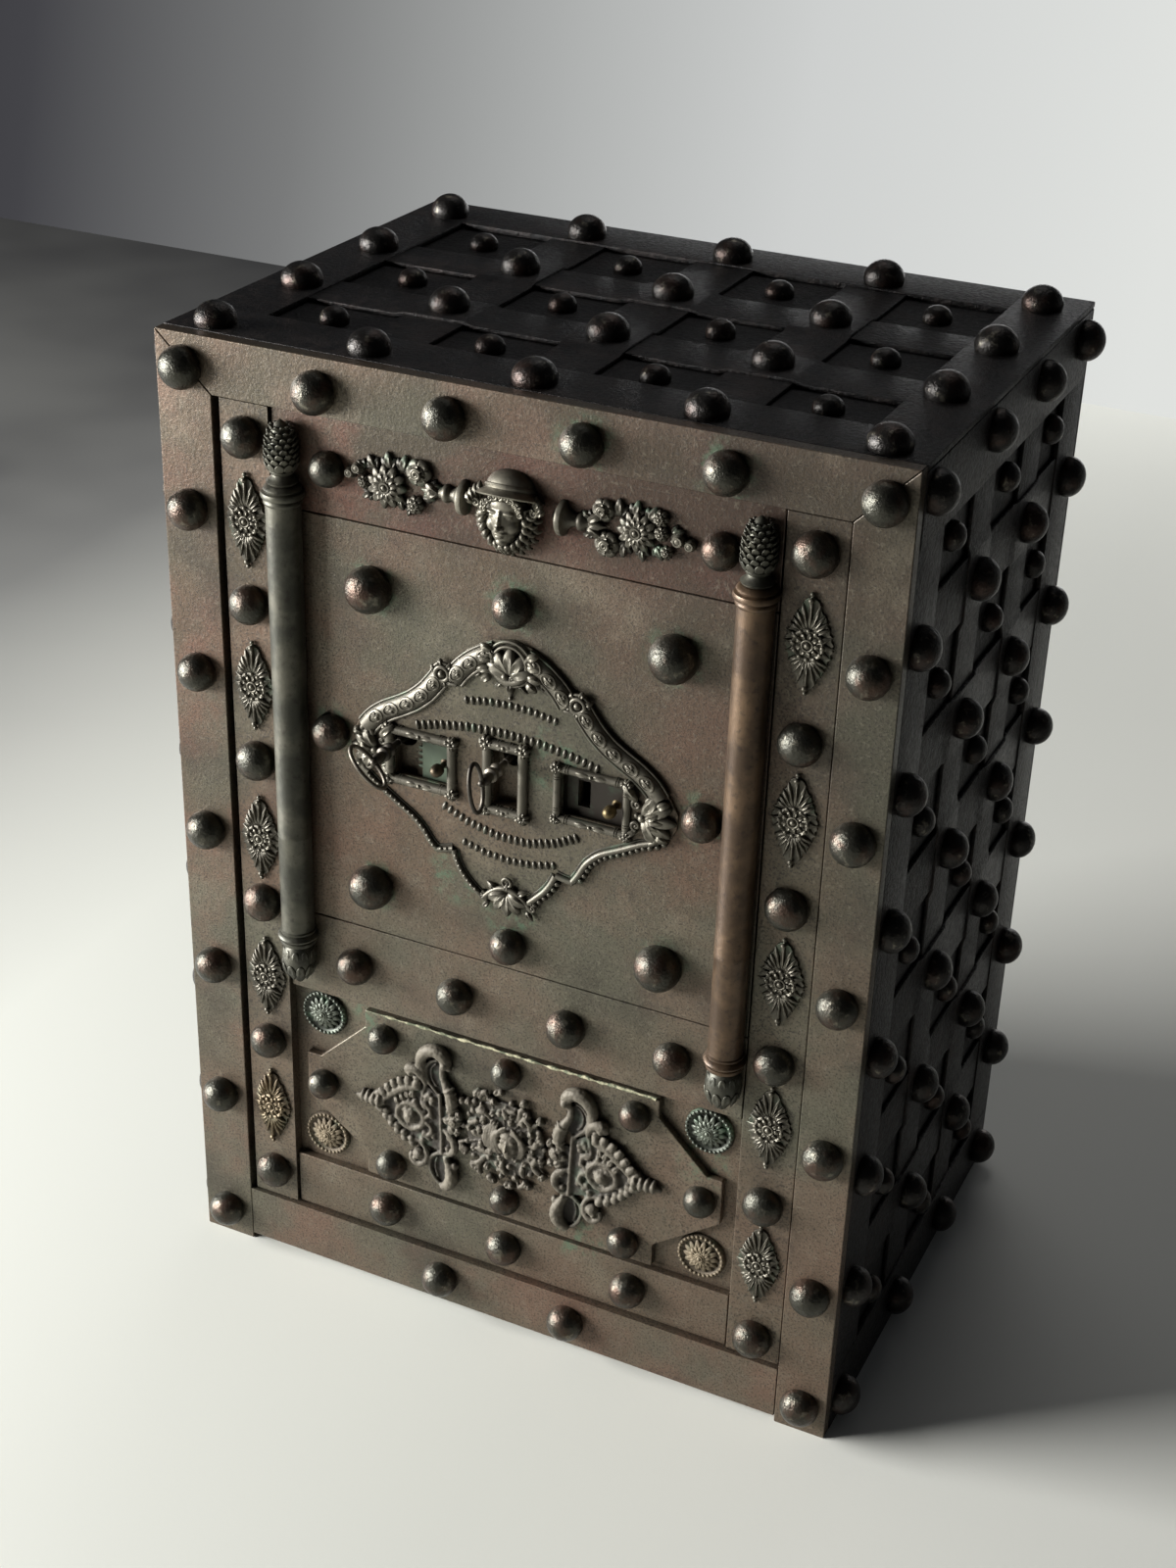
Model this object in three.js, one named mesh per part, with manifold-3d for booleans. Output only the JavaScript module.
// An iron strongbox of the nineteenth century, in millimetres.
// X runs to the right of its front, Y to the back and Z up. The origin is the middle of its footprint.
import * as THREE from "three";
import { mergeVertices } from "three/addons/utils/BufferGeometryUtils.js";
import Module from "manifold-3d";

const wasm = await Module();
wasm.setup();

// Body of the chest
const width = 512;
const depth = 372;
const height = 720;
const seatGap = 0.3;
const cutOverrun = 2;

// Walls, from the straps outside to the lining inside
const strapThickness = 4;
const outerPlate = 5;
const liningPlate = 3;
const wallThickness = 24;
const underStrapShare = 0.7;

// Front frame
const frameThickness = 10;
const frameLeftWidth = 41;
const frameRightWidth = 37.5;
const frameTopWidth = 38;
const frameBottomTop = 48;
const frameBottomFoot = 5;

// Straps on the top, the sides and the back
const borderWidth = 48;
const strapWidth = 44;
const sideColumnShares = [0.068, 0.384, 0.672, 0.935];
const sideRowShares = [0.031, 0.167, 0.299, 0.431, 0.565, 0.7, 0.836, 0.972];
const topColumnShares = [0.058, 0.279, 0.504, 0.725, 0.945];
const topRowShares = [0.07, 0.35, 0.626, 0.911];
const backColumnShares = [0.058, 0.279, 0.504, 0.725, 0.945];

// Round studs: the radius of the base and the height of the dome
const strapStudRadius = 14;
const strapStudHeight = 10;
const panelStudRadius = 10;
const panelStudHeight = 7.5;
const frameStudRadius = 14;
const frameStudHeight = 11;
const stileStudRadius = 14;
const stileStudHeight = 10;
const friezeStudRadius = 12;
const friezeStudHeight = 10;
const cornerStudRadius = 17;
const cornerStudHeight = 14;
const sideStudRadius = 13;
const sideStudHeight = 11;
const railStudRadius = 13.5;
const railStudHeight = 11;
const panelNailRadius = 11.5;
const panelNailHeight = 9.5;
const frontStudSides = 8;
const wallStudSides = 6;
const studRoot = 1.5;

// Door leaf
const doorGapLeft = 4;
const doorGapRight = 1;
const doorGapTop = 1.5;
const doorGapBottom = 1.5;
const stileSetback = 2.7;
const stileThickness = 8;
const doorPlateThickness = 6;
const facePlateThickness = 6;
const plateSeam = 0.6;
const stileLeftWidth = 37;
const stileRightWidth = 40.5;
const friezeHeight = 66.5;
const lowerRailTop = 311;
const lowerRailHeight = 66;
const bottomRailHeight = 44.5;

// Door pivot: how far the pins stand from the edge of the door and from the front of the chest
const pivotInset = 30;
const pivotSetback = 6;
const pinRadius = 2.8;
const pinLength = 10;
const pinClearance = 0.35;

// Pan behind the door, with the bolts in it
const panLeftInset = 46;
const panRightInset = 22.5;
const panEndInset = 14.5;
const panDepth = 39.7;
const panWall = 3;
const boltRadius = 7;
const boltSlack = 0.6;
const boltReach = 3.5;
const boltBarWidth = 12;
const boltBarThickness = 12;
const boltBarEndInset = 56;
const boltRise = 1.6;
const boltHeightShares = [0.14, 0.5, 0.86];
const tailHeight = 10;
const rodWidth = 12;
const rodThickness = 8;
const rodReach = 2.5;

// Lock plates and the revolving barrels that the keys turn
const lockPlateMargin = 12;
const lockPlateHeight = 88;
const lockPlateThickness = 3;
const lockPostRadius = 4;
const lockPostInset = 8;
const lockSpace = 22.7;
const barrelRadius = 11;
const barrelLength = 22;
const barrelSlack = 1;
const journalRadius = 4;
const leftKeyShift = 15.5;
const leftKeyRise = 10.5;
const middleKeyShift = 1;
const middleKeyRise = 14;
const keyHoleRadius = 7.5;

// Keys
const shankRadius = 2.3;
const shankInside = 16;
const bowDistance = 40;
const bowAcross = 17;
const bowAlong = 8.5;
const bowWire = 1.5;
const leftBowAngle = -45;
const middleBowAngle = 98;
const collarRadius = 5.2;
const collarStart = 12;
const collarLength = 16;
const bitReach = 6.5;
const bitLength = 11;
const bitThickness = 2.2;
const keySlack = 0.5;

// Cartouche with three windows
const cartoucheShift = 0.5;
const cartoucheDrop = 4.5;
const cartoucheSideMargin = 55.5;
const cartoucheEndMargin = 49;
const cartoucheGround = 1.8;
const cartoucheBorder = 6;
const upperBorderShare = 0.9;
const lowerBorderShare = 0.95;
const windowBarHeight = 6;
const leftWindowWidth = 39;
const leftWindowHeight = 29;
const leftWindowBar = 7.5;
const leftWindowDrop = 1.5;
const middleWindowWidth = 18;
const middleWindowHeight = 40;
const middleWindowBar = 8;
const rightWindowWidth = 43;
const rightWindowHeight = 30;
const rightWindowBar = 6.5;
const rightWindowRise = 0.5;
const windowColumnShares = [-0.546, -0.025, 0.496];
const pocketMargin = 3;

// Sliding covers of the left and right windows
const coverThickness = 2;
const coverLap = 2;
const leftCoverWidth = 24;
const rightCoverShift = 10;
const slotWidth = 8.7;
const slotHeight = 19;
const slotOffset = 8.5;
const knobRadius = 4.5;
const knobNeck = 2.2;
const knobShift = 14.5;
const knobDrop = 2;

// Columns at both sides of the door
const columnInset = 12.5;
const columnStandoff = 8;
const columnDrop = 55;
const columnRise = 20;
const columnRadius = 14.5;
const finialRadius = 12;
const finialHeight = 43;
const columnSides = 12;

// Applied ornaments
const lozengeWidth = 31;
const lozengeHeight = 64;
const lozengeRelief = 6;
const lozengeRowShares = [0.133, 0.315, 0.497, 0.684, 0.873];
const rosetteRadius = 18;
const rosetteRelief = 7;
const rosetteInset = 24.5;
const rosetteDrop = 20;
const rosetteRise = 23.5;
const raisedPlateThickness = 5.5;
const raisedPlateSideMargin = 11;
const raisedPlateFootMargin = 3;
const raisedPlateHeadMargin = 4;
const raisedPlateNotch = 49.3;
const raisedPlateStep = 11.5;
const headRadius = 17;
const headHeight = 59;
const headRelief = 26;
const headShift = 4.5;
const friezeAxisDrop = 33.5;
const friezeStudLeftGap = 6.1;
const friezeStudRightGap = 2.1;
const sprayGap = 1.7;
const sprayHeight = 44;
const sprayRelief = 13;
const spindleRadius = 10;
const scrollMountMargin = 38.5;
const scrollMountHeight = 118;
const scrollMountRelief = 9;
const scrollMountGap = 4;
const clusterRadius = 37;
const clusterRelief = 12;

// Shelf inside
const shelfZ = 350;
const shelfThickness = 4;
const shelfSetback = 78;
const ledgeWidth = 10;
const ledgeThickness = 4;

// Places that follow from the sizes above
const frontY = -depth / 2;
const backY = depth / 2;
const shellFront = frontY + frameThickness + seatGap;
const plateX = width / 2 - strapThickness - seatGap;
const plateTop = height - strapThickness - seatGap;
const plateBack = backY - strapThickness - seatGap;
const insideX = width / 2 - wallThickness;
const insideTop = height - wallThickness;
const insideBack = backY - wallThickness;
const insideBottom = wallThickness;
const holeLeft = -width / 2 + frameLeftWidth;
const holeRight = width / 2 - frameRightWidth;
const holeTop = height - frameTopWidth;
const doorLeft = holeLeft + doorGapLeft;
const doorRight = holeRight - doorGapRight;
const doorBottom = frameBottomTop + doorGapBottom;
const doorTop = holeTop - doorGapTop;
const stileFront = frontY + stileSetback;
const stileBack = stileFront + stileThickness;
const doorPlateFront = stileBack + seatGap;
const doorPlateBack = doorPlateFront + doorPlateThickness;
const faceBack = doorPlateFront - seatGap;
const faceFront = faceBack - facePlateThickness;
const panelLeft = doorLeft + stileLeftWidth;
const panelRight = doorRight - stileRightWidth;
const panelCentre = (panelLeft + panelRight) / 2;
const panelHalf = (panelRight - panelLeft) / 2;
const friezeBottom = doorTop - friezeHeight;
const lowerRailBottom = lowerRailTop - lowerRailHeight;
const bottomRailTop = doorBottom + bottomRailHeight;
const pivotX = doorLeft + pivotInset;
const pivotY = frontY + pivotSetback;
const panFront = doorPlateBack + seatGap;
const panBack = panFront + panDepth;
const panLeft = doorLeft + panLeftInset;
const panRight = doorRight - panRightInset;
const panBottom = doorBottom + panEndInset;
const panTop = doorTop - panEndInset;
const boltY = panFront + boltRise + boltBarThickness / 2;
const lockPlateFront = panFront + lockSpace;
const cartoucheFront = faceFront - seatGap - cartoucheGround;
const cartoucheX = panelCentre - cartoucheShift;
const cartoucheZ = (lowerRailTop + friezeBottom) / 2 - cartoucheDrop;
const cartoucheHalfWidth = panelHalf - cartoucheSideMargin;
const cartoucheHalfHeight = (friezeBottom - lowerRailTop) / 2 - cartoucheEndMargin;
const [leftWindowX, middleWindowX, rightWindowX] = windowColumnShares.map((share) =>
  cartoucheX + share * cartoucheHalfWidth);
const leftWindow = {
  x: leftWindowX, z: cartoucheZ - leftWindowDrop,
  width: leftWindowWidth, height: leftWindowHeight, bar: leftWindowBar,
};
const middleWindow = {
  x: middleWindowX, z: cartoucheZ,
  width: middleWindowWidth, height: middleWindowHeight, bar: middleWindowBar,
};
const rightWindow = {
  x: rightWindowX, z: cartoucheZ + rightWindowRise,
  width: rightWindowWidth, height: rightWindowHeight, bar: rightWindowBar,
};
const leftKeyX = leftWindow.x - leftKeyShift;
const leftKeyZ = leftWindow.z + leftKeyRise;
const middleKeyX = middleWindow.x + middleKeyShift;
const middleKeyZ = middleWindow.z + middleKeyRise;
const columnX = { left: panelLeft + columnInset, right: panelRight - columnInset };
const columnBottom = lowerRailTop - columnDrop;
const columnTop = friezeBottom + columnRise;
const headX = panelCentre - headShift;
const friezeAxisZ = doorTop - friezeAxisDrop;
const friezeStudX = {
  left: columnX.left + finialRadius + friezeStudRadius + friezeStudLeftGap,
  right: columnX.right - finialRadius - friezeStudRadius - friezeStudRightGap,
};
const raisedPlateHalfWidth = panelHalf - raisedPlateSideMargin;
const raisedPlateBottom = bottomRailTop + raisedPlateFootMargin;
const raisedPlateHeight = lowerRailBottom - raisedPlateHeadMargin - raisedPlateBottom;
const lowMountZ = raisedPlateBottom + raisedPlateHeight / 2;

// Finishes
const finishes = {
  casing: { color: 0x2b2927, roughness: 0.7, metalness: 0.8 },
  straps: { color: 0x34312e, roughness: 0.6, metalness: 0.85 },
  frontPlate: { color: 0x6e6459, roughness: 0.55, metalness: 0.7 },
  bronze: { color: 0x8b8878, roughness: 0.45, metalness: 0.8 },
  gilt: { color: 0x9c8558, roughness: 0.5, metalness: 0.8 },
  copper: { color: 0x7b5946, roughness: 0.5, metalness: 0.8 },
  steel: { color: 0x77767a, roughness: 0.4, metalness: 0.9 },
  filling: { color: 0x8a6f4c, roughness: 0.9, metalness: 0 },
  brass: { color: 0xa98b4d, roughness: 0.35, metalness: 0.9 },
};

const chest = new THREE.Group();

// Turns a closed three.js geometry into a solid for cutting and joining
function solid(geometry) {
  const bare = geometry.clone();
  for (const name of Object.keys(bare.attributes)) {
    if (name !== "position") bare.deleteAttribute(name);
  }
  const merged = mergeVertices(bare, 1e-4);
  const index = merged.index.array;
  const corners = [];
  for (let i = 0; i < index.length; i += 3) {
    const [a, b, c] = index.slice(i, i + 3);
    if (a !== b && b !== c && c !== a) corners.push(a, b, c);
  }
  const whole = new wasm.Manifold(new wasm.Mesh({
    numProp: 3,
    vertProperties: new Float32Array(merged.attributes.position.array),
    triVerts: new Uint32Array(corners),
  }));
  if (whole.volume() > 0) return whole;
  const turned = corners.map((_, i) => corners[i - (i % 3) + 2 - (i % 3)]);
  return new wasm.Manifold(new wasm.Mesh({
    numProp: 3,
    vertProperties: new Float32Array(merged.attributes.position.array),
    triVerts: new Uint32Array(turned),
  }));
}

function joined(parts) {
  return parts.reduce((whole, part) => whole.add(part));
}

// Adds a finished solid to the chest as a named mesh
function addPiece(name, whole, finish) {
  const mesh = whole.getMesh();
  const geometry = new THREE.BufferGeometry();
  geometry.setAttribute("position", new THREE.BufferAttribute(new Float32Array(mesh.vertProperties), 3));
  geometry.setIndex(new THREE.BufferAttribute(new Uint32Array(mesh.triVerts), 1));
  const faceted = geometry.toNonIndexed();
  faceted.computeVertexNormals();
  const piece = new THREE.Mesh(faceted, new THREE.MeshStandardMaterial(finish));
  piece.name = name;
  chest.add(piece);
}

// A block between two corners
function block(x0, x1, y0, y1, z0, z1) {
  const geometry = new THREE.BoxGeometry(x1 - x0, y1 - y0, z1 - z0);
  geometry.translate((x0 + x1) / 2, (y0 + y1) / 2, (z0 + z1) / 2);
  return solid(geometry);
}

// An outline drawn on the front face, given as [x, z] points, as a plate from its front to its back
function frontPlate(points, front, back, holes = []) {
  const shape = new THREE.Shape(points.map(([x, z]) => new THREE.Vector2(x, z)));
  for (const hole of holes) {
    shape.holes.push(new THREE.Path(hole.map(([x, z]) => new THREE.Vector2(x, z)).reverse()));
  }
  const geometry = new THREE.ExtrudeGeometry(shape, { depth: back - front, bevelEnabled: false });
  geometry.rotateX(Math.PI / 2);
  geometry.translate(0, back, 0);
  return solid(geometry);
}

// A turned form whose axis points from its foot in the given direction
function turned(profile, sides, foot, direction) {
  const points = profile.map(([radius, along]) => new THREE.Vector2(radius, along));
  const geometry = new THREE.LatheGeometry(points, sides);
  const turn = new THREE.Quaternion().setFromUnitVectors(new THREE.Vector3(0, 1, 0), direction);
  geometry.applyQuaternion(turn);
  geometry.translate(foot.x, foot.y, foot.z);
  return solid(geometry);
}

const toFront = new THREE.Vector3(0, -1, 0);
const toBack = new THREE.Vector3(0, 1, 0);
const toTop = new THREE.Vector3(0, 0, 1);
const toLeft = new THREE.Vector3(-1, 0, 0);
const toRight = new THREE.Vector3(1, 0, 0);

// A round stud with its root sunk in the plate that carries it
function stud(radius, domeHeight, sides, x, y, z, direction) {
  const shoulderRadiusShare = 0.8;
  const shoulderHeightShare = 0.62;
  const profile = [
    [0, -studRoot],
    [radius, -studRoot],
    [radius, 0],
    [radius * shoulderRadiusShare, domeHeight * shoulderHeightShare],
    [0, domeHeight],
  ];
  return turned(profile, sides, new THREE.Vector3(x, y, z), direction);
}

function frontStuds(places, radius, domeHeight, face) {
  return places.map(([x, z]) => stud(radius, domeHeight, frontStudSides, x, face, z, toFront));
}

// A cylinder along Y from its front to its back
function boreAlongY(radius, sides, x, z, front, back) {
  const profile = [[0, 0], [radius, 0], [radius, back - front], [0, back - front]];
  return turned(profile, sides, new THREE.Vector3(x, front, z), toBack);
}

function between(low, high, shares) {
  return shares.map((share) => low + (high - low) * share);
}

function middles(values) {
  return values.slice(1).map((value, i) => (value + values[i]) / 2);
}

// Outer plates, each with the small studs of its panels
function addOuterPlates() {
  const innerX = plateX - outerPlate - seatGap;
  const columns = middles(between(frontY, backY, sideColumnShares));
  const rows = middles(between(0, height, sideRowShares));
  for (const [name, side, direction] of [["left", -1, toLeft], ["right", 1, toRight]]) {
    const near = Math.min(side * plateX, side * (plateX - outerPlate));
    const plate = block(near, near + outerPlate, shellFront, plateBack, 0, plateTop);
    const studs = columns.flatMap((y) => rows.map((z) =>
      stud(panelStudRadius, panelStudHeight, wallStudSides, side * plateX, y, z, direction)));
    addPiece(`casing_${name}_plate`, joined([plate, ...studs]), finishes.casing);
  }
  const top = block(-innerX, innerX, shellFront, plateBack, plateTop - outerPlate, plateTop);
  const topStuds = middles(between(-width / 2, width / 2, topColumnShares)).flatMap((x) =>
    middles(between(frontY, backY, topRowShares)).map((y) =>
      stud(panelStudRadius, panelStudHeight, frontStudSides, x, y, plateTop, toTop)));
  addPiece("casing_top_plate", joined([top, ...topStuds]), finishes.casing);
  const bottom = block(-innerX, innerX, shellFront, plateBack, 0, outerPlate);
  addPiece("casing_bottom_plate", bottom, finishes.casing);
  const backBottom = outerPlate + seatGap;
  const backTop = plateTop - outerPlate - seatGap;
  const back = block(-innerX, innerX, plateBack - outerPlate, plateBack, backBottom, backTop);
  addPiece("casing_back_plate", back, finishes.casing);
}

// Filling and lining: two tubs, one in the other, both open at the front
function addTubs() {
  const skin = outerPlate + seatGap;
  const linerX = insideX + liningPlate;
  const liner = {
    low: insideBottom - liningPlate,
    high: insideTop + liningPlate,
    back: insideBack + liningPlate,
  };
  const outer = block(-plateX + skin, plateX - skin, shellFront, plateBack - skin, skin, plateTop - skin);
  const hollow = block(
    -linerX - seatGap, linerX + seatGap,
    shellFront - cutOverrun, liner.back + seatGap,
    liner.low - seatGap, liner.high + seatGap,
  );
  addPiece("insulating_filling", outer.subtract(hollow), finishes.filling);
  const tub = block(-linerX, linerX, shellFront, liner.back, liner.low, liner.high);
  const room = block(-insideX, insideX, shellFront - cutOverrun, insideBack, insideBottom, insideTop);
  const ledgeFront = frontY + shelfSetback;
  const ledges = [-1, 1].map((side) => {
    const inner = Math.min(side * (insideX - ledgeWidth), side * (insideX + liningPlate / 2));
    return block(
      inner, inner + ledgeWidth + liningPlate / 2,
      ledgeFront, insideBack - seatGap,
      shelfZ - seatGap - ledgeThickness, shelfZ - seatGap,
    );
  });
  addPiece("inner_lining", joined([tub.subtract(room), ...ledges]), finishes.casing);
  const shelf = block(
    -insideX + seatGap, insideX - seatGap,
    ledgeFront, insideBack - seatGap,
    shelfZ, shelfZ + shelfThickness,
  );
  addPiece("shelf", shelf, finishes.steel);
}

// Crossing straps in one sheet, drawn in a plane and then laid on a face of the chest;
// the back, which stood against a wall, has no studs
function lattice(span, rise, columns, rows) {
  const under = strapThickness * underStrapShare;
  const bars = [];
  columns.forEach((x, i) => {
    const first = i === 0;
    const last = i === columns.length - 1;
    const x0 = first ? 0 : last ? span - borderWidth : x - strapWidth / 2;
    const x1 = first ? borderWidth : last ? span : x + strapWidth / 2;
    bars.push(block(x0, x1, 0, rise, 0, first || last ? strapThickness : under));
  });
  rows.forEach((y, i) => {
    const first = i === 0;
    const last = i === rows.length - 1;
    const y0 = first ? 0 : last ? rise - borderWidth : y - strapWidth / 2;
    const y1 = first ? borderWidth : last ? rise : y + strapWidth / 2;
    bars.push(block(0, span, y0, y1, 0, strapThickness));
  });
  return joined(bars);
}

function latticeStuds(columns, rows, sides) {
  return columns.flatMap((x) => rows.map((y) =>
    stud(strapStudRadius, strapStudHeight, sides, x, y, strapThickness, toTop)));
}

function addLattices() {
  const long = backY - shellFront;
  const frontLoss = shellFront - frontY;
  const tall = plateTop;
  const sideColumns = sideColumnShares.map((share) => share * depth - frontLoss);
  const sideRows = sideRowShares.map((share) => share * height);
  const sideLong = long - strapThickness - seatGap;
  const side = lattice(sideLong, tall, sideColumns, sideRows);
  const sideStuds = latticeStuds(sideColumns, sideRows, wallStudSides);
  const rightSheet = joined([side, ...sideStuds]).rotate([90, 0, 90]);
  addPiece("right_strap_lattice", rightSheet.translate([plateX + seatGap, shellFront, 0]), finishes.straps);
  const leftSheet = rightSheet.mirror([1, 0, 0]);
  addPiece("left_strap_lattice", leftSheet.translate([-plateX - seatGap, shellFront, 0]), finishes.straps);
  const topColumns = topColumnShares.map((share) => share * width);
  const topRows = topRowShares.map((share) => share * depth - frontLoss);
  const topSheet = joined([
    lattice(width, long, topColumns, topRows),
    ...latticeStuds(topColumns, topRows, frontStudSides),
  ]);
  addPiece("top_strap_lattice", topSheet.translate([-width / 2, shellFront, plateTop + seatGap]), finishes.straps);
  const backColumns = backColumnShares.map((share) => share * width);
  const backSheet = lattice(width, tall, backColumns, sideRows).rotate([90, 0, 180]);
  addPiece("back_strap_lattice", backSheet.translate([width / 2, plateBack + seatGap, 0]), finishes.straps);
}

// A lug behind the frame with the hole that a pivot pin of the door turns in
function pivotLug(low, high) {
  const lugHalf = pinRadius + pinClearance + frameThickness / 2;
  return block(pivotX - lugHalf, pivotX + lugHalf, frontY + frameThickness / 2, shellFront + lugHalf, low, high);
}

function pivotHole(low, high) {
  const radius = pinRadius + pinClearance;
  const profile = [[0, 0], [radius, 0], [radius, high - low], [0, high - low]];
  return turned(profile, columnSides * 2, new THREE.Vector3(pivotX, pivotY, low), toTop);
}

// Front frame, mitred at its upper corners, with its studs
function addFrontFrame() {
  const back = frontY + frameThickness;
  const mitre = seatGap / 2;
  const left = -width / 2;
  const right = width / 2;
  const leftShape = [[left, 0], [holeLeft, 0], [holeLeft, holeTop - mitre], [left, height - mitre]];
  const rightShape = [[holeRight, 0], [right, 0], [right, height - mitre], [holeRight, holeTop - mitre]];
  const topShape = [
    [left + mitre, height],
    [holeLeft + mitre, holeTop],
    [holeRight - mitre, holeTop],
    [right - mitre, height],
  ];
  const leftRowShares = [0.969, 0.835, 0.671, 0.5, 0.343, 0.183, 0.033];
  const rightRowShares = [0.969, 0.819, 0.663, 0.497, 0.332, 0.171, 0.033];
  const topColumnPlaceShares = [-0.535, -0.174, 0.188, 0.549];
  const footColumnShares = [-0.191, 0.215];
  const leftX = (left + holeLeft) / 2;
  const rightX = (right + holeRight) / 2;
  const studsAt = (places) => frontStuds(places, frameStudRadius, frameStudHeight, frontY);
  const topZ = leftRowShares[0] * height;
  const leftPlaces = leftRowShares.slice(1).map((share) => [leftX, share * height]);
  const rightPlaces = rightRowShares.slice(1).map((share) => [rightX, share * height]);
  const topPlaces = topColumnPlaceShares.map((share) => [share * width / 2, topZ]);
  const leftStrip = joined([frontPlate(leftShape, frontY, back), ...studsAt(leftPlaces)]);
  addPiece("front_frame_left", leftStrip, finishes.frontPlate);
  const rightStrip = joined([frontPlate(rightShape, frontY, back), ...studsAt(rightPlaces)]);
  addPiece("front_frame_right", rightStrip, finishes.frontPlate);
  const pinEnd = doorTop + pinLength + seatGap;
  const topLug = pivotLug(holeTop, insideTop - seatGap);
  const cornerX = [leftX, rightX].map((x) => [x, topZ]);
  const topStrip = joined([frontPlate(topShape, frontY, back), topLug]);
  const drilledTop = topStrip.subtract(pivotHole(holeTop - cutOverrun, pinEnd));
  const cornerTrim = frontPlate(topShape, frontY - frameStudHeight, frontY + cutOverrun);
  const cornerStuds = studsAt(cornerX).map((one) => one.intersect(cornerTrim));
  addPiece("front_frame_top", joined([drilledTop, ...studsAt(topPlaces), ...cornerStuds]), finishes.frontPlate);
  const footLeft = holeLeft + seatGap;
  const footRight = holeRight - seatGap;
  const foot = block(footLeft, footRight, frontY, back, frameBottomFoot, frameBottomTop);
  const footLug = pivotLug(insideBottom + seatGap, frameBottomTop);
  const lowPin = doorBottom - pinLength - seatGap;
  const drilledFoot = joined([foot, footLug]).subtract(pivotHole(lowPin, frameBottomTop + cutOverrun));
  const footZ = (frameBottomFoot + frameBottomTop) / 2;
  const footPlaces = footColumnShares.map((share) => [share * width / 2, footZ]);
  addPiece("front_frame_bottom", joined([drilledFoot, ...studsAt(footPlaces)]), finishes.frontPlate);
}

function windowHole(window, margin, front, back) {
  const halfWidth = window.width / 2 + margin;
  const halfHeight = window.height / 2 + margin;
  return block(
    window.x - halfWidth, window.x + halfWidth,
    front - cutOverrun, back + cutOverrun,
    window.z - halfHeight, window.z + halfHeight,
  );
}

// Backing plate of the door, with a hole behind each window
function addDoorPlate() {
  const plate = block(doorLeft, doorRight, doorPlateFront, doorPlateBack, doorBottom, doorTop);
  const front = doorPlateFront - cutOverrun;
  const back = doorPlateBack + cutOverrun;
  const holes = [[leftKeyX, leftKeyZ], [middleKeyX, middleKeyZ]].map(([x, z]) =>
    boreAlongY(keyHoleRadius, columnSides, x, z, front, back));
  const slotX = rightWindow.x - slotOffset;
  holes.push(block(
    slotX - slotWidth / 2, slotX + slotWidth / 2,
    front, back,
    rightWindow.z - slotHeight / 2, rightWindow.z + slotHeight / 2,
  ));
  const drilled = holes.reduce((whole, hole) => whole.subtract(hole), plate);
  addPiece("door_backing_plate", drilled, finishes.frontPlate);
}

// Stiles with their studs; the left one carries the pins that the door turns on
function addStiles() {
  const leftRowShares = [0.964, 0.779, 0.594, 0.414, 0.227, 0.039];
  const rightRowShares = [0.964, 0.768, 0.584, 0.396, 0.213, 0.029];
  const sides = [
    ["left", doorLeft, panelLeft - plateSeam, leftRowShares],
    ["right", panelRight + plateSeam, doorRight, rightRowShares],
  ];
  for (const [name, low, high, shares] of sides) {
    const parts = [block(low, high, stileFront, stileBack, doorBottom, doorTop)];
    const places = between(doorBottom, doorTop, shares).map((z) => [(low + high) / 2, z]);
    parts.push(...frontStuds(places, stileStudRadius, stileStudHeight, stileFront));
    if (name === "left") parts.push(pivotPin(doorTop, 1), pivotPin(doorBottom, -1));
    addPiece(`${name}_stile`, joined(parts), finishes.frontPlate);
  }
}

function pivotPin(edge, way) {
  const profile = [
    [0, -pinLength],
    [pinRadius, -pinLength],
    [pinRadius, pinLength],
    [0, pinLength],
  ];
  const direction = new THREE.Vector3(0, 0, way);
  return turned(profile, columnSides, new THREE.Vector3(pivotX, pivotY, edge), direction);
}

// Face plates between the stiles
function addFacePlates() {
  const low = panelLeft + plateSeam;
  const high = panelRight - plateSeam;
  const face = (z0, z1) => block(low, high, faceFront, faceBack, z0, z1);
  const at = (xShare, z) => [panelCentre + xShare * panelHalf, z];
  const frieze = face(friezeBottom + plateSeam, doorTop);
  const friezePlaces = [[friezeStudX.left, friezeAxisZ], [friezeStudX.right, friezeAxisZ + plateSeam]];
  const friezeStuds = frontStuds(friezePlaces, friezeStudRadius, friezeStudHeight, faceFront);
  addPiece("frieze_plate", joined([frieze, ...friezeStuds]), finishes.frontPlate);
  addCentrePlate(face(lowerRailTop + plateSeam, friezeBottom), at);
  const rail = face(lowerRailBottom, lowerRailTop);
  const railShares = [-0.685, -0.23, 0.255, 0.705];
  const railPlaces = railShares.map((share) => at(share, lowerRailTop - lowerRailHeight / 2));
  const railStuds = frontStuds(railPlaces, railStudRadius, railStudHeight, faceFront);
  addPiece("lower_rail", joined([rail, ...railStuds]), finishes.frontPlate);
  const foot = face(doorBottom, bottomRailTop);
  const footShares = [-0.555, 0, 0.565];
  const footPlaces = footShares.map((share) => at(share, (doorBottom + bottomRailTop) / 2));
  const footStuds = frontStuds(footPlaces, railStudRadius, railStudHeight, faceFront);
  addPiece("bottom_rail", joined([foot, ...footStuds]), finishes.frontPlate);
}

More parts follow.
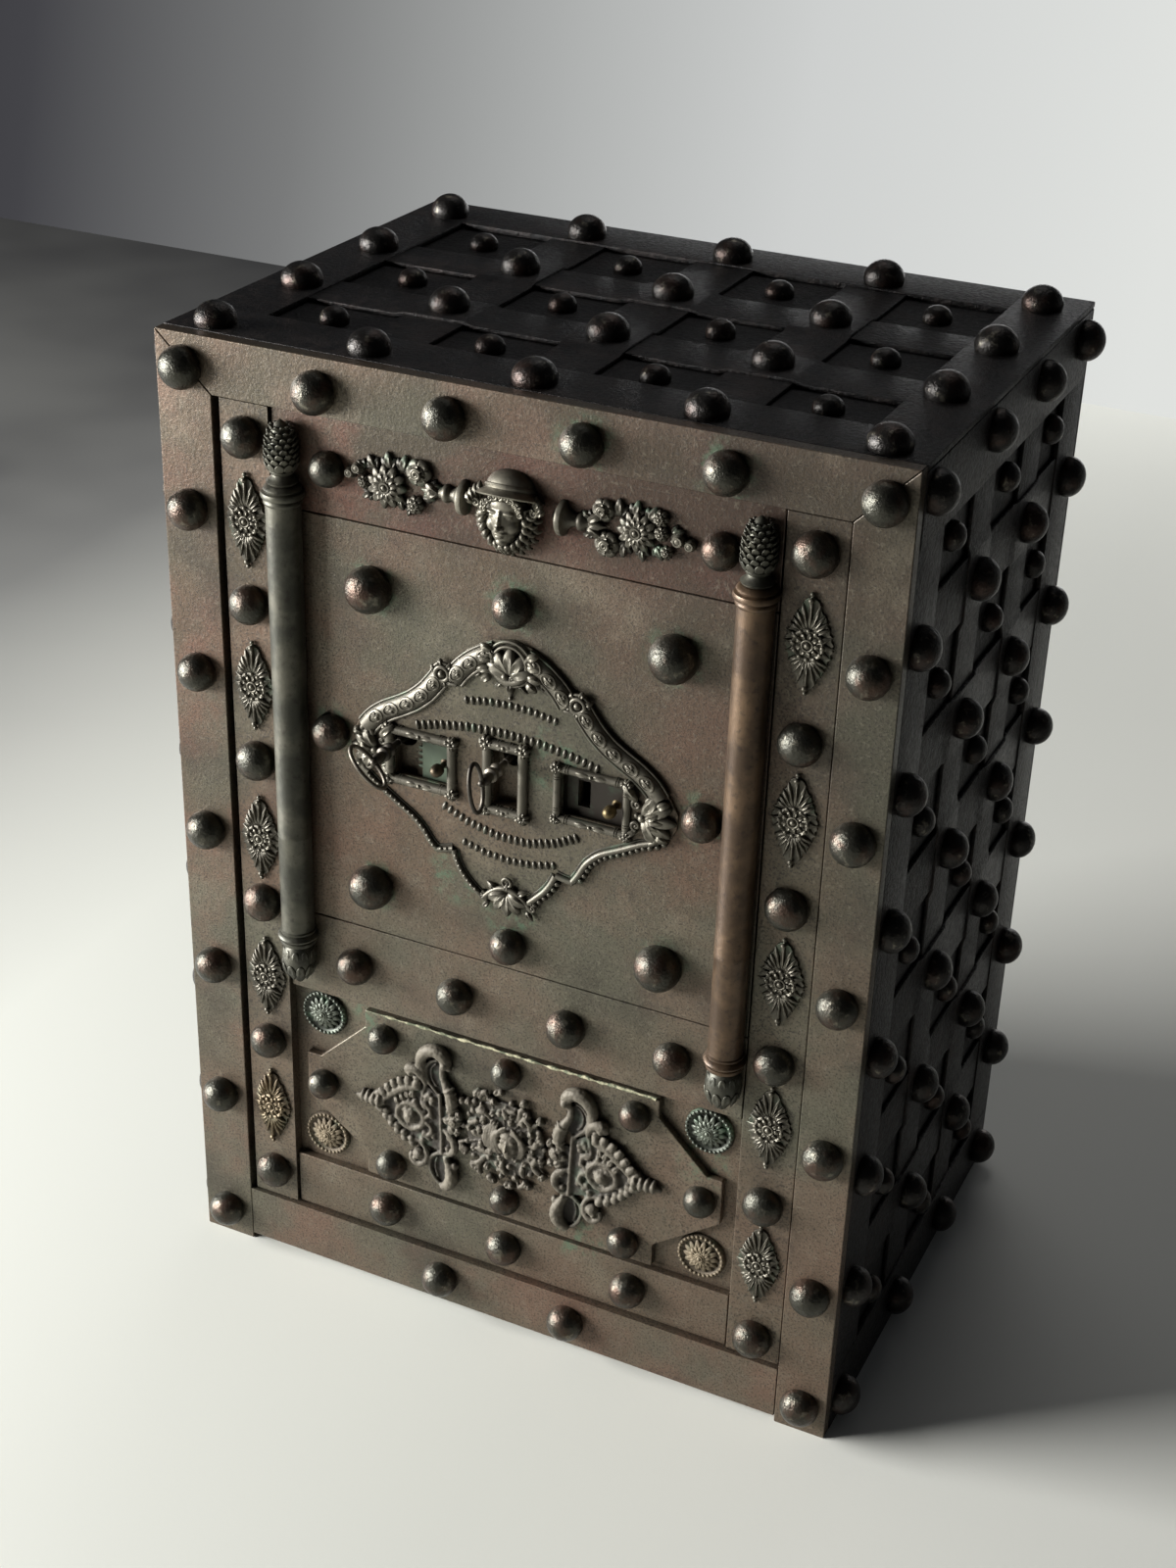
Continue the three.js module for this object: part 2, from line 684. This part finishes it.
function addCentrePlate(plate, at) {
  const cornerShares = [[-0.59, 0.858], [0.63, 0.858], [-0.6, 0.122], [0.63, 0.122]];
  const sideShares = [[0, 0.888], [0, 0.066], [-0.767, 0.492], [0.769, 0.502]];
  const placed = ([x, z]) => at(x, lowerRailTop + z * (friezeBottom - lowerRailTop));
  const cornerPlaces = cornerShares.map(placed);
  const sidePlaces = sideShares.map(placed);
  const studded = joined([
    plate,
    ...frontStuds(cornerPlaces, cornerStudRadius, cornerStudHeight, faceFront),
    ...frontStuds(sidePlaces, sideStudRadius, sideStudHeight, faceFront),
  ]);
  const pockets = [
    coverPocket(leftWindow, leftWindow.x + leftWindow.width / 2 + coverLap),
    windowHole(middleWindow, 0, faceFront, faceBack),
    coverPocket(rightWindow, rightWindow.x + rightWindow.width / 2),
  ];
  const cut = pockets.reduce((whole, pocket) => whole.subtract(pocket), studded);
  addPiece("centre_plate", cut, finishes.frontPlate);
}

// The space in the centre plate that a cover slides in
function coverPocket(window, right) {
  const travel = window === rightWindow ? rightCoverShift : 0;
  return block(
    window.x - window.width / 2 - travel, right + seatGap,
    faceFront - cutOverrun, faceBack + cutOverrun,
    window.z - window.height / 2 - pocketMargin, window.z + window.height / 2 + pocketMargin,
  );
}

// Raised plate low on the door, with its corners cut back for the round rosettes
function addRaisedPlate() {
  const cutX = raisedPlateHalfWidth - raisedPlateNotch;
  const stepX = raisedPlateHalfWidth - raisedPlateStep;
  const cutShares = [0, 0.13, 0.385, 0.64, 0.64, 0.9, 1];
  const reaches = [cutX, cutX, raisedPlateHalfWidth, raisedPlateHalfWidth, stepX, cutX, cutX];
  const half = reaches.map((x, i) => [x, raisedPlateBottom + cutShares[i] * raisedPlateHeight]);
  const outline = [
    ...half.map(([x, z]) => [panelCentre + x, z]),
    ...half.map(([x, z]) => [panelCentre - x, z]).reverse(),
  ];
  const front = faceBack - raisedPlateThickness;
  const nailShares = [
    [-0.6, 0.875], [0, 0.895], [0.6, 0.88], [-0.91, 0.486], [0.91, 0.5], [-0.57, 0.11], [0, 0.125], [0.57, 0.104],
  ];
  const nailPlaces = nailShares.map(([x, z]) =>
    [panelCentre + x * raisedPlateHalfWidth, raisedPlateBottom + z * raisedPlateHeight]);
  const nails = frontStuds(nailPlaces, panelNailRadius, panelNailHeight, front);
  addPiece("raised_lower_plate", joined([frontPlate(outline, front, faceBack), ...nails]), finishes.frontPlate);
}

// Turned columns, flat at the back where they lie on the door, each with a pine cone on top
function addColumns() {
  const columnShares = [
    [0, 0], [0.3, 0], [0.62, 0.02], [0.85, 0.05], [0.9, 0.08], [0.62, 0.09], [1, 0.095], [1, 0.107],
    [0.8, 0.115], [0.8, 0.968], [1, 0.973], [1, 0.984], [0.82, 0.988], [0.9, 1], [0, 1],
  ];
  const coneShares = [[0, 0], [0.6, 0], [0.92, 0.12], [1, 0.32], [0.85, 0.6], [0.5, 0.85], [0, 1]];
  const columnHeight = columnTop - columnBottom;
  for (const [name, finish] of [["left", finishes.bronze], ["right", finishes.copper]]) {
    const x = columnX[name];
    const y = faceFront - columnStandoff;
    const profile = columnShares.map(([r, z]) => [r * columnRadius, z * columnHeight]);
    const shaft = turned(profile, columnSides, new THREE.Vector3(x, y, columnBottom), toTop);
    addPiece(`${name}_column`, flatBacked(shaft), finish);
    const cone = coneShares.map(([r, z]) => [r * finialRadius, z * finialHeight]);
    const finialFoot = new THREE.Vector3(x, y, columnTop + seatGap);
    addPiece(`${name}_pine_cone_finial`, flatBacked(turned(cone, columnSides, finialFoot, toTop)), finishes.bronze);
  }
}

// Cuts a form flat where it lies on the face of the door
function flatBacked(form, face = faceFront) {
  const keep = block(-width, width, frontY - depth, face - seatGap, 0, height);
  return form.intersect(keep);
}

// Outline of the cartouche, one half in shares of its half width and half height
const cartoucheShares = [
  [0.12, 0.99], [0.26, 0.92], [0.36, 0.81], [0.42, 0.72], [0.5, 0.62], [0.61, 0.48], [0.74, 0.36],
  [0.88, 0.24], [0.97, 0.13], [1, 0.02], [0.96, -0.1], [0.87, -0.17], [0.76, -0.19], [0.66, -0.25],
  [0.56, -0.33], [0.5, -0.42], [0.45, -0.56], [0.41, -0.6], [0.33, -0.6], [0.26, -0.71], [0.17, -0.82],
  [0.15, -0.9], [0.09, -0.98],
];

function cartoucheOutline(inward) {
  const half = cartoucheShares.map(([x, z]) => {
    const share = inward ? (z > 0 ? upperBorderShare : lowerBorderShare) : 1;
    return [share * x * cartoucheHalfWidth, share * z * cartoucheHalfHeight];
  });
  return [
    ...half.map(([x, z]) => [cartoucheX + x, cartoucheZ + z]),
    ...half.map(([x, z]) => [cartoucheX - x, cartoucheZ + z]).reverse(),
  ];
}

// Cartouche: a thin ground, a moulded border, ornaments on it and a raised bar round each window
function addCartouche() {
  const back = faceFront - seatGap;
  const parts = [frontPlate(cartoucheOutline(false), cartoucheFront, back)];
  parts.push(frontPlate(cartoucheOutline(false), back - cartoucheBorder, back, [cartoucheOutline(true)]));
  const ornamentShares = [
    [0, 0.84, 0.11], [0, -0.84, 0.15], [-0.42, 0.7, 0.05], [0.42, 0.7, 0.05], [-0.9, 0.02, 0.1], [0.9, 0.02, 0.1],
  ];
  for (const [x, z, size] of ornamentShares) {
    const radius = size * cartoucheHalfWidth;
    const placeX = cartoucheX + x * cartoucheHalfWidth;
    const placeZ = cartoucheZ + z * cartoucheHalfHeight;
    parts.push(stud(radius, cartoucheBorder, frontStudSides, placeX, back - cartoucheGround, placeZ, toFront));
  }
  const windows = [leftWindow, middleWindow, rightWindow];
  for (const window of windows) {
    const halfWidth = window.width / 2 + window.bar;
    const halfHeight = window.height / 2 + window.bar;
    parts.push(block(
      window.x - halfWidth, window.x + halfWidth,
      back - windowBarHeight, back,
      window.z - halfHeight, window.z + halfHeight,
    ));
  }
  const holes = windows.map((window) => windowHole(window, 0, back - windowBarHeight, back));
  const cut = holes.reduce((whole, hole) => whole.subtract(hole), joined(parts));
  addPiece("cartouche", cut, finishes.bronze);
}

// A cover plate with a knob; the right one has a keyhole slot
function coverPlate(x0, x1, window, knobX) {
  const back = faceBack - plateSeam;
  const front = back - coverThickness;
  const reach = window.height / 2 + coverLap;
  const plate = block(x0, x1, front, back, window.z - reach, window.z + reach);
  const out = front - cartoucheFront + knobRadius;
  const profile = [
    [0, -coverThickness / 2],
    [knobNeck, -coverThickness / 2],
    [knobNeck, out - knobRadius / 2],
    [knobRadius, out + knobRadius / 4],
    [knobRadius, out + knobRadius],
    [knobRadius / 2, out + knobRadius * 1.5],
    [0, out + knobRadius * 1.5],
  ];
  const knobFoot = new THREE.Vector3(knobX, front, window.z - knobDrop);
  return joined([plate, turned(profile, frontStudSides, knobFoot, toFront)]);
}

function addCovers() {
  const leftEnd = leftWindow.x + leftWindow.width / 2 + coverLap;
  const left = coverPlate(leftEnd - leftCoverWidth, leftEnd, leftWindow, leftWindow.x + knobShift);
  addPiece("left_window_cover", left, finishes.bronze);
  const inner = rightWindow.x - rightWindow.width / 2 + seatGap;
  const outer = rightWindow.x + rightWindow.width / 2;
  const right = coverPlate(inner, outer, rightWindow, rightWindow.x + knobShift);
  const slotX = rightWindow.x - slotOffset;
  const slot = block(
    slotX - slotWidth / 2, slotX + slotWidth / 2,
    faceFront - cutOverrun, faceBack + cutOverrun,
    rightWindow.z - slotHeight / 2, rightWindow.z + slotHeight / 2,
  );
  addPiece("right_window_cover", right.subtract(slot), finishes.bronze);
}

// Lock plate on four posts; the barrels turn between it and the door
function addLockPlate() {
  const x0 = cartoucheX - cartoucheHalfWidth + lockPlateMargin;
  const x1 = cartoucheX + cartoucheHalfWidth - lockPlateMargin;
  const z0 = cartoucheZ - lockPlateHeight / 2;
  const z1 = cartoucheZ + lockPlateHeight / 2;
  const plateBackY = lockPlateFront + lockPlateThickness;
  const parts = [block(x0, x1, lockPlateFront, plateBackY, z0, z1)];
  for (const x of [x0 + lockPostInset, x1 - lockPostInset]) {
    for (const z of [z0 + lockPostInset, z1 - lockPostInset]) {
      parts.push(boreAlongY(lockPostRadius, frontStudSides, x, z, panFront, lockPlateFront + seatGap));
    }
  }
  const bearings = [[leftKeyX, leftKeyZ], [middleKeyX, middleKeyZ]].map(([x, z]) =>
    boreAlongY(journalRadius + seatGap, columnSides * 2, x, z, lockPlateFront - cutOverrun, plateBackY + cutOverrun));
  const drilled = bearings.reduce((whole, hole) => whole.subtract(hole), joined(parts));
  addPiece("lock_plate", drilled, finishes.steel);
}

// A barrel that turns with its key: a bore for the shank and a slot for the bit
function addBarrel(name, x, z) {
  const end = panFront + barrelLength;
  const body = boreAlongY(barrelRadius, columnSides, x, z, panFront, end);
  const journalEnd = lockPlateFront + lockPlateThickness;
  const journal = boreAlongY(journalRadius, columnSides, x, z, end - seatGap, journalEnd);
  const front = panFront - cutOverrun;
  const boreEnd = panFront + shankInside + keySlack;
  const bore = boreAlongY(shankRadius + keySlack, columnSides, x, z, front, boreEnd);
  const slotHalf = bitThickness / 2 + keySlack;
  const slot = block(x - slotHalf, x + slotHalf, front, boreEnd, z - bitReach - keySlack, z);
  addPiece(name, joined([body, journal]).subtract(bore).subtract(slot), finishes.brass);
}

// Key: an oval bow, a collar, a round shank and a bit, all on one line to the front
function addKey(name, x, z, bowAngle) {
  const inside = panFront + shankInside;
  const bowCentre = frontY - bowDistance;
  const bow = new THREE.TorusGeometry(bowAcross, bowWire, wallStudSides, columnSides * 2);
  bow.scale(1, bowAlong / bowAcross, 1);
  bow.rotateY(-bowAngle * Math.PI / 180);
  bow.translate(x, bowCentre, z);
  const shankFront = bowCentre + bowAlong;
  const shank = boreAlongY(shankRadius, columnSides, x, z, shankFront, inside);
  const collarFront = frontY - collarStart;
  const collarShares = [[0, 0], [0.5, 0], [1, 0.35], [1, 0.65], [0.5, 1], [0, 1]];
  const profile = collarShares.map(([r, along]) => [r * collarRadius, along * collarLength]);
  const collar = turned(profile, frontStudSides, new THREE.Vector3(x, collarFront, z), toFront);
  const bitHalf = bitThickness / 2;
  const bit = block(x - bitHalf, x + bitHalf, inside - bitLength, inside, z - bitReach, z);
  addPiece(name, joined([solid(bow), shank, collar, bit]), finishes.steel);
}

// Pan over the bolts, with holes in its edges for them
function addPan() {
  const shell = block(panLeft, panRight, panFront, panBack, panBottom, panTop);
  const room = block(
    panLeft + panWall, panRight - panWall,
    panFront - cutOverrun, panBack - panWall,
    panBottom + panWall, panTop - panWall,
  );
  const sideHoles = boltHeights().map((z) => boltAlongX(
    boltRadius + boltSlack, z, panRight - panWall - cutOverrun, panRight + cutOverrun,
  ));
  const rodHalf = rodWidth / 2 + boltSlack;
  const rodDeep = rodThickness / 2 + boltSlack;
  const endHole = (z0, z1) => block(
    leftKeyX - rodHalf, leftKeyX + rodHalf,
    boltY - rodDeep, boltY + rodDeep,
    z0 - cutOverrun, z1 + cutOverrun,
  );
  const holes = [room, ...sideHoles, endHole(panTop - panWall, panTop), endHole(panBottom, panBottom + panWall)];
  addPiece("door_bolt_pan", holes.reduce((whole, hole) => whole.subtract(hole), shell), finishes.steel);
}

function boltHeights() {
  return between(panBottom, panTop, boltHeightShares);
}

function boltAlongX(radius, z, x0, x1) {
  const profile = [[0, 0], [radius, 0], [radius, x1 - x0], [0, x1 - x0]];
  return turned(profile, columnSides, new THREE.Vector3(x0, boltY, z), toRight);
}

// Three side bolts on one bar with a tail to the middle barrel, and the rods above and below the left barrel
function addBolts() {
  const barRight = panRight - panWall - boltBarEndInset / 2;
  const barLeft = barRight - boltBarWidth;
  const half = boltBarThickness / 2;
  const low = panBottom + boltBarEndInset;
  const high = panTop - boltBarEndInset;
  const bar = block(barLeft, barRight, boltY - half, boltY + half, low, high);
  const end = doorRight - boltReach;
  const bolts = boltHeights().map((z) => boltAlongX(boltRadius, z, barLeft + half, end));
  const tailLeft = middleKeyX + barrelRadius + barrelSlack;
  const tail = block(
    tailLeft, barLeft + half,
    boltY - rodThickness / 2, boltY + rodThickness / 2,
    middleKeyZ - tailHeight / 2, middleKeyZ + tailHeight / 2,
  );
  addPiece("side_bolt_bar", joined([bar, tail, ...bolts]), finishes.steel);
  const rod = (z0, z1) => block(
    leftKeyX - rodWidth / 2, leftKeyX + rodWidth / 2,
    boltY - rodThickness / 2, boltY + rodThickness / 2,
    z0, z1,
  );
  const clear = barrelRadius + barrelSlack;
  addPiece("top_bolt_rod", rod(leftKeyZ + clear, doorTop - rodReach), finishes.steel);
  addPiece("bottom_bolt_rod", rod(doorBottom + rodReach, leftKeyZ - clear), finishes.steel);
}

// Lozenge rosettes down the stiles
function addLozenges() {
  const profileShares = [[0, 0], [1, 0], [0.92, 0.45], [0.45, 0.5], [0.3, 1], [0, 1]];
  const profile = profileShares.map(([r, along]) => [r, along * lozengeRelief]);
  const sides = [
    ["left", (doorLeft + panelLeft - plateSeam) / 2],
    ["right", (doorRight + panelRight + plateSeam) / 2],
  ];
  const points = profile.map(([r, along]) => new THREE.Vector2(r, along));
  for (const [name, x] of sides) {
    between(doorBottom, doorTop, lozengeRowShares).forEach((z, i) => {
      const form = new THREE.LatheGeometry(points, 4);
      form.scale(lozengeWidth / 2, 1, lozengeHeight / 2);
      form.rotateX(Math.PI);
      form.translate(x, stileFront - seatGap, z);
      const last = name === "left" && i === 0;
      addPiece(`${name}_lozenge_${i + 1}`, solid(form), last ? finishes.gilt : finishes.bronze);
    });
  }
}

// Round rosettes at the corners of the raised plate
function addRosettes() {
  const shares = [[0, 0], [1, 0], [1, 0.4], [0.85, 0.55], [0.6, 0.35], [0.4, 0.7], [0.2, 1], [0, 1]];
  const profile = shares.map(([r, along]) => [r * rosetteRadius, along * rosetteRelief]);
  const high = lowerRailBottom - rosetteDrop;
  const low = bottomRailTop + rosetteRise;
  const places = [
    ["upper_left", panelLeft + rosetteInset, high, finishes.bronze],
    ["upper_right", panelRight - rosetteInset, high, finishes.bronze],
    ["lower_left", panelLeft + rosetteInset, low, finishes.gilt],
    ["lower_right", panelRight - rosetteInset, low, finishes.gilt],
  ];
  for (const [name, x, z, finish] of places) {
    const foot = new THREE.Vector3(x, faceBack, z);
    addPiece(`${name}_rosette`, turned(profile, columnSides, foot, toFront), finish);
  }
}

// A rounded lump, used to block out carved ornaments
function lump(x, z, radiusX, radiusZ, relief, face) {
  const form = new THREE.SphereGeometry(1, frontStudSides, frontStudSides / 2);
  form.scale(radiusX, relief, radiusZ);
  form.translate(x, face, z);
  return solid(form);
}

// Frieze: a helmeted head between two turned spindles and two sprays of flowers
function addFriezeMounts() {
  const face = faceFront - seatGap;
  const headZ = friezeAxisZ - headHeight / 20;
  const helmetZ = headZ + headHeight / 5;
  const faceWidthShare = 0.75;
  const faceHeightShare = 0.42;
  const faceReliefShare = 0.85;
  const helmetHeightShare = 0.3;
  const curlWidthShare = 0.35;
  const curlHeightShare = 0.4;
  const curlReliefShare = 0.45;
  const parts = [
    lump(headX, headZ, headRadius * faceWidthShare, headHeight * faceHeightShare, headRelief * faceReliefShare, face),
    lump(headX, helmetZ, headRadius, headHeight * helmetHeightShare, headRelief, face),
  ];
  const curlShares = [
    [-0.95, -0.1], [-0.9, 0.25], [-0.75, -0.5], [0.75, -0.5], [0.95, -0.1], [0.9, 0.25],
    [-0.35, -0.8], [0.35, -0.8],
  ];
  for (const [x, z] of curlShares) {
    parts.push(lump(
      headX + x * headRadius, headZ + z * headHeight / 2,
      headRadius * curlWidthShare, headRadius * curlHeightShare, headRelief * curlReliefShare, face,
    ));
  }
  addPiece("helmeted_head", flatBacked(joined(parts)), finishes.bronze);
  for (const [name, side] of [["left", -1], ["right", 1]]) {
    addPiece(`${name}_flower_spray`, flowerSpray(side, friezeStudX[name], face), finishes.bronze);
  }
}

// A spindle and a spray of flowers share the room between the head and the stud at the end of the frieze
function flowerSpray(side, studX, face) {
  const spindleStartShare = 0.085;
  const spindleShare = 0.3;
  const sprayStartShare = 0.33;
  const edge = headX + side * headRadius;
  const outer = studX - side * (friezeStudRadius + sprayGap);
  const room = Math.abs(outer - edge);
  const inner = edge + side * sprayStartShare * room;
  const x = (inner + outer) / 2;
  const petalShares = [
    [0, 0, 0.5], [-0.42, 0.1, 0.42], [0.42, 0.12, 0.42], [0, 0.5, 0.4], [0, -0.5, 0.4],
    [0.7, -0.1, 0.23], [-0.7, 0, 0.23],
  ];
  const sprayReachShare = 0.93;
  const petalHeightShare = 1.1;
  const leastReliefShare = 0.6;
  const addedReliefShare = 0.8;
  const half = Math.abs(outer - inner) / 2 / sprayReachShare;
  const petals = petalShares.map(([px, pz, size]) => lump(
    x + side * px * half, friezeAxisZ + pz * sprayHeight / 2,
    size * half, size * petalHeightShare * sprayHeight / 2,
    sprayRelief * (leastReliefShare + size * addedReliefShare), face,
  ));
  const profileShares = [[0, 0], [0.35, 0], [0.45, 0.2], [1, 0.35], [0.9, 0.5], [0.4, 0.6], [0.4, 1], [0, 1]];
  const profile = profileShares.map(([r, along]) => [r * spindleRadius, along * spindleShare * room]);
  const start = edge + side * spindleStartShare * room;
  const direction = side < 0 ? toLeft : toRight;
  const spindle = turned(profile, frontStudSides, new THREE.Vector3(start, face, friezeAxisZ), direction);
  return flatBacked(joined([...petals, spindle]));
}

// Low mounts: a round cluster of scrolls between two pointed scroll mounts
function addLowMounts() {
  const face = faceBack - raisedPlateThickness - seatGap;
  const ringCount = 10;
  const coreWidthShare = 0.75;
  const coreHeightShare = 0.85;
  const ringPlaceShare = 0.8;
  const ringSizeShare = 0.24;
  const ringReliefShare = 0.7;
  const core = lump(
    panelCentre, lowMountZ,
    clusterRadius * coreWidthShare, clusterRadius * coreHeightShare, clusterRelief, face,
  );
  const ring = Array.from({ length: ringCount }, (_, i) => {
    const angle = i * 2 * Math.PI / ringCount;
    const reach = clusterRadius * ringPlaceShare;
    return lump(
      panelCentre + Math.cos(angle) * reach, lowMountZ + Math.sin(angle) * reach,
      clusterRadius * ringSizeShare, clusterRadius * ringSizeShare, clusterRelief * ringReliefShare, face,
    );
  });
  addPiece("scroll_cluster_mount", flatBacked(joined([core, ...ring]), face + seatGap), finishes.bronze);
  const outlineShares = [
    [0, 0.5], [0.3, 0.5], [0.45, 0.3], [0.4, 0.2], [0.75, 0.1], [1, 0], [0.75, -0.1], [0.45, -0.22], [0.3, -0.5], [0, -0.5],
  ];
  const bossShare = 0.16;
  const scrollMountWidth = raisedPlateHalfWidth - clusterRadius - scrollMountGap - scrollMountMargin;
  for (const [name, side] of [["left", -1], ["right", 1]]) {
    const inner = panelCentre + side * (clusterRadius + scrollMountGap);
    const outline = outlineShares.map(([x, z]) =>
      [inner + side * x * scrollMountWidth, lowMountZ + z * scrollMountHeight]);
    const plate = frontPlate(outline, face - scrollMountRelief / 2, face);
    const boss = stud(
      scrollMountWidth * bossShare, scrollMountRelief, frontStudSides,
      inner + side * scrollMountWidth / 2, face - scrollMountRelief / 3, lowMountZ, toFront,
    );
    addPiece(`${name}_scroll_mount`, joined([plate, boss]), finishes.bronze);
  }
}

addOuterPlates();
addTubs();
addLattices();
addFrontFrame();
addDoorPlate();
addStiles();
addFacePlates();
addRaisedPlate();
addColumns();
addCartouche();
addCovers();
addLockPlate();
addBarrel("left_lock_barrel", leftKeyX, leftKeyZ);
addBarrel("middle_lock_barrel", middleKeyX, middleKeyZ);
addKey("left_key", leftKeyX, leftKeyZ, leftBowAngle);
addKey("middle_key", middleKeyX, middleKeyZ, middleBowAngle);
addPan();
addBolts();
addLozenges();
addRosettes();
addFriezeMounts();
addLowMounts();

export default chest;
